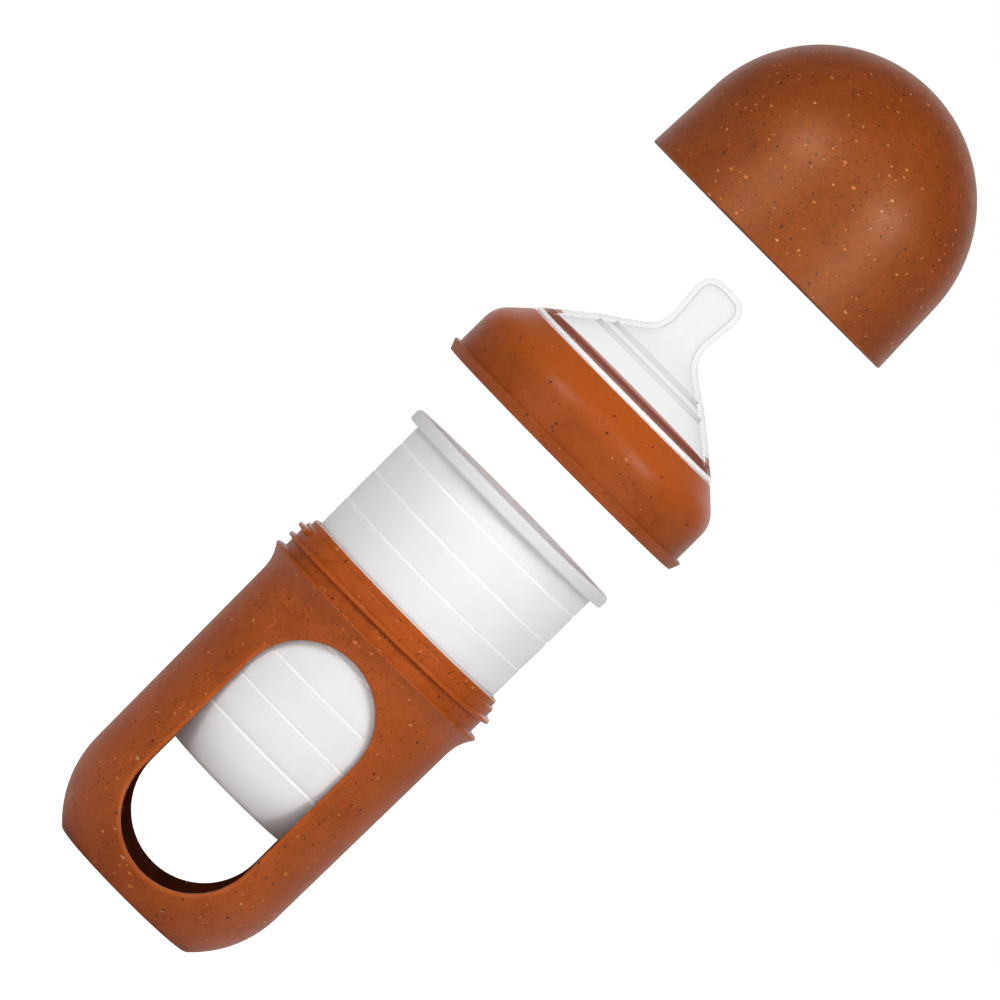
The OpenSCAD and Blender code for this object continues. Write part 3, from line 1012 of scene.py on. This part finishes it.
# Looks of the nipple's faces and the limits between them
CLEAR_LOOK, TEAT_DARK_EDGE_LOOK, BEAD_HIGHLIGHT_LOOK, BAND_REFLECTION_LOOK, FLEX_SHADE_LOOK = range(5)
TEAT_LOOK_Z = WAIST_C[1] - 4
SKIRT_LOOK_T = 0.6  # depth of the skirt's inside
FLEX_LOOK_W = 0.45  # half width of a flex groove
BEAD_LOOK_Z = 8.2   # top of the bead
BAND_LOOK_Z = 10.2  # top of the band


def skirt(t, d=0.0):
    """Point at t of the skirt's length and d outside it."""
    out = SKIRT_N * (d + SKIRT_BOW * math.sin(math.pi * t) ** 2)
    return tuple(SKIRT_FOOT + (SKIRT_HEAD - SKIRT_FOOT) * t + out)


def skirt_t(r):
    """Place in the skirt's length at a radius."""
    return (SKIRT_FOOT.x - r) / (SKIRT_FOOT.x - SKIRT_HEAD.x)


def teat_r(s):
    """Radius of the teat at s of the way from the waist up to the bulb."""
    return WAIST_R + (BULB_R - WAIST_R) * (3 - 2 * s) * s * s


def teat(d=0.0):
    stops = [i / TEAT_STEPS for i in range(1, TEAT_STEPS)]
    return [(teat_r(s) + d, WAIST_C[1] + (BULB_Z - WAIST_C[1]) * s) for s in stops]


def flex_groove(r):
    """A groove inside the skirt, which lets the nipple flex, and its place in the skirt."""
    t = skirt_t(r)
    return t, arc(skirt(t, -NIPPLE_WALL), FLEX_GROOVE_R, 180 - SKIRT_A, -SKIRT_A)


def teat_middle_r(z):
    """Radius halfway through the wall of the teat and its waist."""
    half = NIPPLE_WALL / 2
    if z > BULB_Z + BULB_FILLET - half:
        return 0.0
    if z > BULB_Z:
        return BULB_R - BULB_FILLET + math.sqrt((BULB_FILLET - half) ** 2 - (z - BULB_Z) ** 2)
    if z > WAIST_C[1]:
        return teat_r((z - WAIST_C[1]) / (BULB_Z - WAIST_C[1])) - half
    return WAIST_C[0] - math.sqrt((WAIST_FILLET + half) ** 2 - (WAIST_C[1] - z) ** 2)


def nipple_finish(r, z):
    """Look of a nipple's face: the teat's inside, a flex groove, the bead, the band or clear.

    The teat's inside gets painted dark edges, the flex grooves painted shade, the bead a painted
    highlight, and the band, above the bead, the collar's colour as a painted reflection.
    """
    if z > TEAT_LOOK_Z:
        return TEAT_DARK_EDGE_LOOK if r < teat_middle_r(z) else CLEAR_LOOK
    depth = (Vector(skirt(skirt_t(r))) - Vector((r, z))).dot(SKIRT_N)
    if depth > SKIRT_LOOK_T:
        near = min(abs(r - groove_r) for groove_r in FLEX_GROOVES)
        return FLEX_SHADE_LOOK if near < FLEX_LOOK_W else CLEAR_LOOK
    if LIP_GROOVE_HIGH < z < BEAD_LOOK_Z:
        return BEAD_HIGHLIGHT_LOOK
    return BAND_REFLECTION_LOOK if BEAD_LOOK_Z < z < BAND_LOOK_Z else CLEAR_LOOK


def nipple_outside():
    """From the foot up over the flange, the lip groove, the bead, the skirt and the teat."""
    foot, flange = (NIPPLE_BORE_R, 0.0), (NIPPLE_FLANGE_R, 0.0)
    flange_top = (NIPPLE_FLANGE_R, NIPPLE_FLANGE_T)
    lip_low, lip_high = (LIP_GROOVE_R, LIP_GROOVE_LOW), (LIP_GROOVE_R, LIP_GROOVE_HIGH)
    return profile(
        [foot],
        rounded(foot, flange, flange_top, 0.4),
        rounded(flange, flange_top, lip_low, 0.4),
        rounded(flange_top, lip_low, lip_high, 0.4),
        arc((LIP_GROOVE_R + 0.2, 6.704), 0.2, 180, 90),
        arc((LIP_GROOVE_R, 7.40419), 0.5, -60, 90 - SKIRT_A),
        [skirt(i / SKIRT_STEPS) for i in range(1, SKIRT_STEPS)],
        arc(WAIST_C, WAIST_FILLET, 270 - SKIRT_A, 180),
        teat(),
        arc((BULB_R - BULB_FILLET, BULB_Z), BULB_FILLET, 0, 90),
        [(FLOW_HOLE_R, TIP_Z)])


def nipple_inside():
    """From the flow hole down the teat, past the flex grooves in the skirt and to the foot."""
    upper_t, upper = flex_groove(FLEX_GROOVES[0])
    lower_t, lower = flex_groove(FLEX_GROOVES[1])
    above = [(1 - upper_t) * i / 10 for i in range(1, 10)]
    below = [(lower_t - INSIDE_START) * i / 18 for i in range(1, 18)]
    return profile(
        [(FLOW_HOLE_R, TIP_Z)],
        [(FLOW_HOLE_R, TIP_Z - NIPPLE_WALL)],
        arc((BULB_R - BULB_FILLET, BULB_Z), BULB_FILLET - NIPPLE_WALL, 90, 0),
        teat(-NIPPLE_WALL)[::-1],
        arc(WAIST_C, WAIST_FILLET + NIPPLE_WALL, 180, 270 - SKIRT_A),
        [skirt(1 - s, -NIPPLE_WALL) for s in above if 1 - upper_t - s > FLEX_GAP],
        upper,
        lower,
        [skirt(lower_t - s, -NIPPLE_WALL) for s in below if s > FLEX_GAP],
        [(NIPPLE_BORE_R - 1, INSIDE_Z)],
        arc((NIPPLE_BORE_R, 1.0), 1.0, 180, 270),
        [(NIPPLE_BORE_R, 0.0)])


# ---- Collar and cap ----

def collar_profile():
    """From the mouth out over the bead and crown to the lip, and back down the bore."""
    mouth = (COLLAR_MOUTH_R, 0.0)
    return profile(
        rounded(mouth, (BEAD_R - 1.1, 0.0), (BEAD_R, BEAD_LOW), 0.35),
        arc((BEAD_R - 0.5, BEAD_LOW), 0.5, 10, 90),
        step_corner(COLLAR_SIDE_R, BEAD_HIGH, SMALL_FILLET),
        arc(CROWN_C, CROWN_R, 0, 47),
        arc((COLLAR_LIP_R + 0.5, 22.4), 0.5, 43, 180),
        [(COLLAR_LIP_R, 21.0871)],
        [(COLLAR_BORE_R - 0.8, COLLAR_UNDER_Z + 0.746)],
        [(COLLAR_BORE_R, COLLAR_UNDER_Z - 0.8)],
        [(COLLAR_BORE_R, 0.5)],
        [mouth],
        closed=True)


def cap_profile():
    """From the inside of the dome's top down to the rim and back up the outside."""
    c = (0.0, CAP_DOME_Z)
    return profile(
        arc(c, CAP_DOME_R, 90, CAP_DRAFT),
        arc((CAP_IN_R + 0.25, 0.25), 0.25, 180, 270),
        arc((BEAD_R - 0.5, 0.5), 0.5, -90, 0),
        arc(c, CAP_DOME_R + CAP_WALL, CAP_DRAFT, 90))


# ---- Pieces ----

def build_shell():
    shown("shell_body", shell_mesh(),
          [terracotta_shell, terracotta_glossy_neck_painted_glow, terracotta_edge_painted_highlight, terracotta_inside_painted_shade],
          "shell", "bottle_shell", shell_finish)
    thread = screw_thread(NECK_R, NECK_THREAD_R, NECK_THREAD_Z, 0.0)
    shown("neck_thread", thread, [terracotta_glossy_neck_painted_glow], "shell")
    marks = joined([mark(*place) for place in MARKS])
    shown("measuring_marks", marks, [terracotta_mark_painted_highlight], "shell")


def build_pouch():
    rise = rise_of("silicone_pouch", POUCH_Z)
    shown("pouch_body", lathe(pouch_profile(), rise, closed=False),
          [pouch_silicone, pouch_painted_light, pouch_rim, pouch_end_painted_light],
          "pouch", "silicone_pouch", lambda r, z: pouch_finish(r, z - rise))


def build_nipple():
    rise = rise_of("nipple", 0.0)
    section = nipple_outside() + nipple_inside()[1:-1]
    piece = shown("nipple_body", lathe(section, rise),
                  [nipple_outer, nipple_inner_painted_dark_edge, nipple_bead_painted_highlight, nipple_band_painted_reflection, nipple_ring_painted_shade],
                  "nipple", "nipple", lambda r, z: nipple_finish(r, z - rise))
    piece.visible_shadow = False  # clear silicone casts next to no shadow


def build_collar_and_cap():
    shown("collar_body", lathe(collar_profile(), COLLAR_REST), [terracotta_collar],
          "collar", "screw_collar")
    thread = screw_thread(COLLAR_BORE_R, COLLAR_THREAD_R, COLLAR_THREAD_Z - COLLAR_Z, COLLAR_REST)
    shown("collar_thread", thread, [terracotta_collar], "collar")
    shown("cap_body", lathe(cap_profile(), rise_of("dome_cap", 0.0), closed=False),
          [terracotta_cap], "cap", "dome_cap")


# ---- Camera ----

PICTURE = 1000     # side of the picture, in pixels
PIXEL = 0.26 * MM  # one pixel at the bottle's axis
FOOT_PIXEL = 1250  # row of the foot when the picture is turned upright
CENTRE = 708       # the picture's centre in the upright picture
AXIS_SHIFT = 12.7  # the axis passes the centre this many pixels to the right
HORIZON = 400      # row of the camera's height
DISTANCE = 11600   # in pixels
LEAN = 45.34       # of the bottle's axis from the picture's upright, degrees
SENSOR = 36        # mm
CLIP_END = 100     # metres


def set_camera():
    data = bpy.data.cameras.new("camera")
    camera = bpy.data.objects.new("camera", data)
    scene.collection.objects.link(camera)
    aim = Vector((-AXIS_SHIFT * PIXEL, 0, (FOOT_PIXEL - CENTRE) * PIXEL))
    place = Vector((aim.x, -DISTANCE * PIXEL, (FOOT_PIXEL - HORIZON) * PIXEL))
    forward = (aim - place).normalized()
    level = forward.cross(Vector((0, 0, 1))).normalized()
    upright = level.cross(forward)
    lean = math.radians(LEAN)
    right = upright * math.sin(lean) + level * math.cos(lean)
    up = upright * math.cos(lean) - level * math.sin(lean)
    turn = Matrix((right, up, -forward)).transposed().to_4x4()
    camera.matrix_world = Matrix.Translation(place) @ turn
    data.sensor_width = SENSOR
    data.lens = SENSOR * (aim - place).length / (PICTURE * PIXEL)
    data.clip_end = CLIP_END
    scene.camera = camera


# ---- Light, floor and background ----

LAMP_AIM = Vector((0, 0, 0.15))  # the bottle's middle, metres


def softbox(name, azimuth, elevation, distance, width, height, power, mirrored=True):
    """A soft lamp aimed at the bottle's middle, sizes in metres. Azimuth 0 is the camera's side,
    positive to its right. One that isn't mirrored lights without showing in the gloss.
    """
    a, e = math.radians(azimuth), math.radians(elevation)
    way = Vector((math.sin(a) * math.cos(e), -math.cos(a) * math.cos(e), math.sin(e)))
    place = LAMP_AIM + distance * way
    data = bpy.data.lights.new(name, "AREA")
    data.shape = "RECTANGLE"
    data.size, data.size_y = width, height
    data.energy = power
    lamp = bpy.data.objects.new(name, data)
    turn = (LAMP_AIM - place).to_track_quat("-Z", "Y").to_matrix().to_4x4()
    lamp.matrix_world = Matrix.Translation(place) @ turn
    lamp.visible_camera = False
    lamp.visible_glossy = mirrored
    lamp.visible_transmission = False
    scene.collection.objects.link(lamp)


# Light of the room by direction, from the camera's side (0) to behind the bottle (1): what the
# matt surfaces get, at ROOM_LEVEL, and what the reflections show
ROOM_LEVEL = 1.6
ROOM_MATT = ((0.0, 0.17), (0.30, 0.17), (0.44, 0.02), (0.69, 0.03), (0.90, 1.0))
ROOM_GLOSS = ((0.0, 0.12), (0.30, 0.12), (0.44, 0.03), (0.83, 0.03), (0.965, 1.0))
ROOM_TOP = 0.85  # the matt light from above, against that from the sides


def background(nt, colour, strength):
    return put(nt, "ShaderNodeBackground", {"Color": colour, "Strength": strength}).outputs[0]


def room_colour(nt, depth, stops):
    """Grey of the room by how far behind the bottle a direction points."""
    node = put(nt, "ShaderNodeValToRGB", {0: depth})
    ramp = node.color_ramp
    ramp.interpolation = "EASE"
    while len(ramp.elements) < len(stops):
        ramp.elements.new(0.5)
    for element, (position, level) in zip(ramp.elements, stops):
        element.position = position
        element.color = white(level)
    return node.outputs[0]


def set_world():
    """A white background for the camera and the clear silicone, and a room that gives light."""
    world = bpy.data.worlds.new("studio")
    nt = emptied(world)
    way = put(nt, "ShaderNodeTexCoord").outputs["Generated"]
    xyz = put(nt, "ShaderNodeSeparateXYZ", {0: way})
    depth = in_range(nt, xyz.outputs[1], -1.0, 1.0)
    top = in_range(nt, xyz.outputs[2], 0.15, 0.85, 1.0, ROOM_TOP)
    strength = math_node(nt, "MULTIPLY", top, ROOM_LEVEL)
    matt = background(nt, room_colour(nt, depth, ROOM_MATT), strength)
    gloss = background(nt, room_colour(nt, depth, ROOM_GLOSS), 1.0)
    path = put(nt, "ShaderNodeLightPath").outputs
    room = mix_shaders(nt, path["Is Glossy Ray"], matt, gloss)
    plain = math_node(nt, "MAXIMUM", path["Is Camera Ray"], path["Is Transmission Ray"])
    seen = mix_shaders(nt, plain, room, background(nt, white(1), 1.0))
    put(nt, "ShaderNodeOutputWorld", {"Surface": seen})
    scene.world = world


FLOOR_HALF = 6.0     # metres
FLOOR_GREY = 0.8     # its matt colour, which keeps the bottle's shadow
FLOOR_GLOW = 0.82    # what makes it white where the camera sees it
GLOW_MIRRORED = 0.1  # share of the glow that reflections show


def emission(nt, strength):
    return put(nt, "ShaderNodeEmission", {"Color": white(1), "Strength": strength}).outputs[0]


def floor_material():
    """White to the camera and through the clear silicone, and plain grey to all other light."""
    m = bpy.data.materials.new("floor")
    nt = emptied(m)
    path = put(nt, "ShaderNodeLightPath").outputs
    mirrored = math_node(nt, "MULTIPLY", path["Is Glossy Ray"], GLOW_MIRRORED)
    glowing = math_node(nt, "MAXIMUM", path["Is Camera Ray"], mirrored)
    matt = put(nt, "ShaderNodeBsdfDiffuse", {"Color": white(FLOOR_GREY)}).outputs[0]
    glow = emission(nt, FLOOR_GLOW)
    both = put(nt, "ShaderNodeAddShader", {0: glow, 1: matt}).outputs[0]
    direct = mix_shaders(nt, glowing, matt, both)
    seen = mix_shaders(nt, path["Is Transmission Ray"], direct, emission(nt, 1.0))
    put(nt, "ShaderNodeOutputMaterial", {"Surface": seen})
    return m


def set_floor():
    corners = [(-1, -1), (1, -1), (1, 1), (-1, 1)]
    mesh = bpy.data.meshes.new("floor")
    mesh.from_pydata([(x * FLOOR_HALF, y * FLOOR_HALF, 0) for x, y in corners], [], [(0, 1, 2, 3)])
    mesh.materials.append(floor_material())
    floor = bpy.data.objects.new("floor", mesh)
    scene.collection.objects.link(floor)


build_shell()
build_pouch()
build_nipple()
build_collar_and_cap()
set_camera()
softbox("right_box", 46, 24, 1.3, 0.32, 0.42, 6.0)
softbox("left_box", -36, 24, 1.3, 0.36, 0.44, 5.0)
softbox("front_wash", 4, 44, 1.6, 0.8, 0.8, 8.0, mirrored=False)
set_world()
set_floor()
scene.view_settings.view_transform = "Standard"
